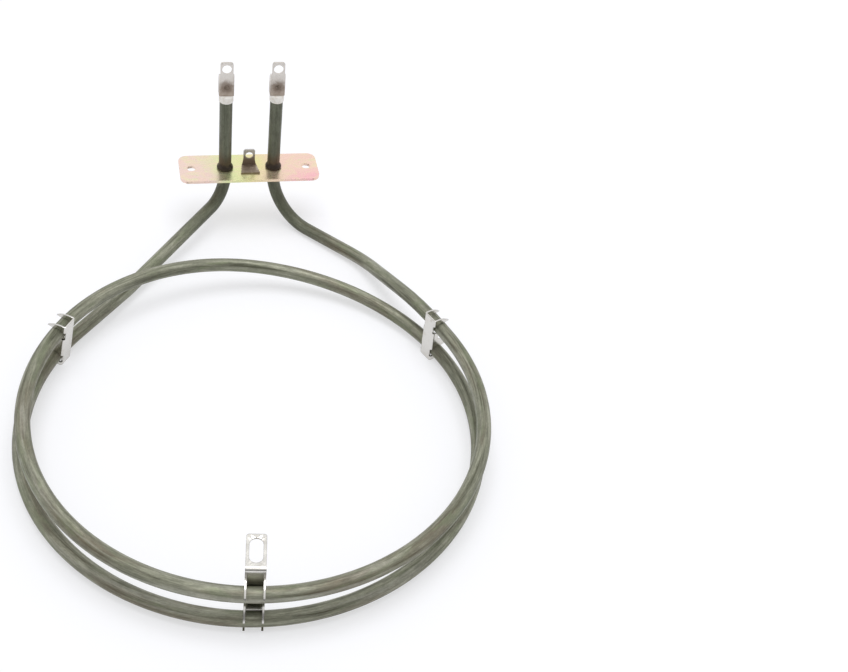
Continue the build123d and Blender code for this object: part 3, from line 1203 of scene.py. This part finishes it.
@dataclass
class TubeEnds:
    """Bush, seal, pin and terminal on the top of each leg."""

    sides: tuple[str, ...] = ("left", "right")
    terminal_edges: SoftEdges = SoftEdges(0.0001)

    def dress(self) -> None:
        """Finish the pieces of both ends."""
        finishes = {
            "end_bush": Stock.CERAMIC.value.build(),
            "end_seal": Stock.SEAL.value.build(),
            "cold_pin": Stock.PIN.value.build(),
            "terminal": TintedNickel().build(),
        }
        for side in self.sides:
            self.terminal_edges.soften(f"{side}_terminal")
            for piece, material in finishes.items():
                paint(f"{side}_{piece}", material)


@dataclass
class HiddenCore:
    """What the sheath hides: the powder and the wound wire."""

    def dress(self) -> None:
        """Finish both hidden pieces."""
        paint("magnesia_fill", Stock.POWDER.value.build())
        paint("heating_coil", Stock.WIRE.value.build())


@dataclass
class Studio:
    """Pale floor, one soft lamp, white surround and the camera."""

    floor_height: float = -0.0315
    floor_size: float = 1.0
    floor_colour: Colour = (0.80, 0.80, 0.81)
    seen_colour: Colour = (0.50, 0.505, 0.535)
    floor_roughness: float = 0.9
    floor_glow: Range = (0.51, 0.80)
    glow_spread: Range = (0.10, 0.40)
    white: Colour = (1.0, 1.0, 1.0)
    surround: float = 0.66
    dim_share: float = 0.72
    dim_front: Range = (-0.15, -0.65)
    dim_height: Range = (0.85, 0.50)
    lamp_power: float = 17.0
    lamp_size: float = 1.25
    lamp_place: tuple[float, float, float] = (0.0, 0.06, 2.00)
    lens: float = 49.277
    sensor_width: float = 36.0
    clip: Range = (0.01, 50.0)
    stand: tuple[float, float, float] = (-0.06917, -0.50425, 0.36701)
    heading: float = 19.95
    tilt: float = 43.04
    roll: float = -10.33
    aim: tuple[float, float, float] = (-0.0132, -0.13, 0.0)

    def lay_floor(self) -> None:
        """Lay the floor, which shows its shadows but reads as white to the camera."""
        mesh = bmesh.new()
        bmesh.ops.create_grid(mesh, x_segments=1, y_segments=1, size=self.floor_size)
        data = bpy.data.meshes.new("floor")
        mesh.to_mesh(data)
        mesh.free()
        floor = bpy.data.objects.new("floor", data)
        floor.location = (0.0, 0.0, self.floor_height)
        bpy.context.scene.collection.objects.link(floor)
        bench = FinishBench("pale_floor")
        seen = bench.seen_by("Camera", "Glossy", "Transmission")
        colour = bench.lay(seen, self.floor_colour, self.seen_colour)
        bench.finish(colour, 0.0, self.floor_roughness)
        bench.shader.inputs["Specular IOR Level"].default_value = 0.0
        glow = bench.add("ShaderNodeEmission")
        bench.feed(glow.inputs["Color"], self.white)
        place = bench.place(Place.PART)
        across = [bench.axis(place, name) for name in ("X", "Y")]
        spread = bench.sums("ADD", *(bench.sums("MULTIPLY", reach, reach) for reach in across))
        level = bench.span(spread, *self.glow_spread, *self.floor_glow)
        bench.feed(glow.inputs["Strength"], bench.sums("MULTIPLY", seen, level))
        both = bench.add("ShaderNodeAddShader")
        bench.feed(both.inputs[0], bench.shader.outputs[0])
        bench.feed(both.inputs[1], glow.outputs[0])
        bench.feed(bench.tree.nodes["Material Output"].inputs["Surface"], both.outputs[0])
        data.materials.append(bench.material)

    def light(self) -> None:
        """Set the surround and the soft lamp overhead."""
        world = bpy.data.worlds.new("surround")
        bpy.context.scene.world = world
        world.use_nodes = True
        bench = NodeBench(world.node_tree)
        way = bench.add("ShaderNodeTexCoord").outputs["Generated"]
        front = bench.span(bench.axis(way, "Y"), *self.dim_front)
        low = bench.span(bench.axis(way, "Z"), *self.dim_height)
        dim = bench.sums("MULTIPLY", bench.sums("MULTIPLY", front, low), bench.seen_by("Glossy"))
        white = bench.seen_by("Camera", "Glossy", "Transmission")
        level = bench.sums("MULTIPLY_ADD", white, 1.0 - self.surround, self.surround)
        level = bench.sums("SUBTRACT", level, bench.sums("MULTIPLY", dim, self.dim_share))
        sky = bench.tree.nodes["Background"]
        bench.feed(sky.inputs["Color"], self.white)
        bench.feed(sky.inputs["Strength"], level)
        lamp = bpy.data.lights.new("overhead", "AREA")
        lamp.energy = self.lamp_power
        lamp.size = self.lamp_size
        holder = bpy.data.objects.new("overhead", lamp)
        holder.location = self.lamp_place
        toward = Vector(self.aim) - Vector(self.lamp_place)
        holder.rotation_euler = toward.to_track_quat("-Z", "Y").to_euler()
        bpy.context.scene.collection.objects.link(holder)

    def set_camera(self) -> None:
        """Stand the camera where the element is seen from above its front."""
        heading = math.radians(self.heading)
        tilt = math.radians(self.tilt)
        roll = math.radians(self.roll)
        forward = Vector(
            (
                math.sin(heading) * math.cos(tilt),
                math.cos(heading) * math.cos(tilt),
                -math.sin(tilt),
            )
        )
        right = Vector((math.cos(heading), -math.sin(heading), 0.0))
        down = forward.cross(right)
        across = right * math.cos(roll) + down * math.sin(roll)
        fall = down * math.cos(roll) - right * math.sin(roll)
        turned = Matrix((across, -fall, -forward)).transposed()
        camera = bpy.data.cameras.new("camera")
        camera.lens = self.lens
        camera.sensor_width = self.sensor_width
        camera.clip_start, camera.clip_end = self.clip
        holder = bpy.data.objects.new("camera", camera)
        holder.matrix_world = Matrix.Translation(Vector(self.stand)) @ turned.to_4x4()
        bpy.context.scene.collection.objects.link(holder)
        bpy.context.scene.camera = holder

    def prepare(self) -> None:
        """Set up everything round the element."""
        self.lay_floor()
        self.light()
        self.set_camera()
        bpy.context.scene.view_settings.view_transform = "Standard"


def main() -> None:
    """Dress every sub-assembly in order."""
    logging.basicConfig(level=logging.INFO, format="%(message)s")
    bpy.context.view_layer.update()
    Studio().prepare()
    for assembly in (
        HeatingSheath(),
        RetainingClips(),
        MountingFlange(),
        TubeEnds(),
        HiddenCore(),
    ):
        LOG.info("dressing %s", type(assembly).__name__)
        assembly.dress()


if __name__ == "__main__":
    main()
